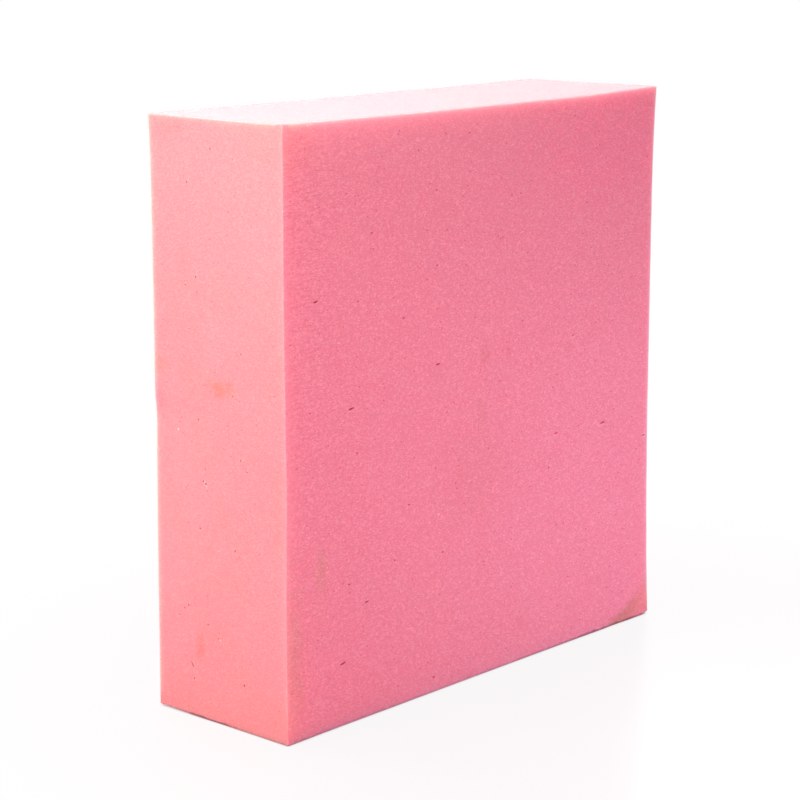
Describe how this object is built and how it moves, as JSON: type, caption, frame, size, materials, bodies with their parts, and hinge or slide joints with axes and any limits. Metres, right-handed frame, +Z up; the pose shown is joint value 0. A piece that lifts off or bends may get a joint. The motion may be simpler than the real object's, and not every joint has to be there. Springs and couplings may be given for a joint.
{
  "type": "foam cushion",
  "caption": "Plain square block of pink open-cell foam for a seat or bench cushion, knife-cut on every side, with slightly drawn-in faces and opened blow holes.",
  "frame": {"origin": "middle of the underside, on the surface that the block stands on", "axes": "+Z up the standing block, +X along its broad face, +Y through its thickness to the flat back face"},
  "size_m": [0.5, 0.152, 0.508],
  "materials": {
    "foam": "matte pink open-cell foam"
  },
  "bodies": {
    "root": {"foam_block": "foam"}
  },
  "joints": []
}
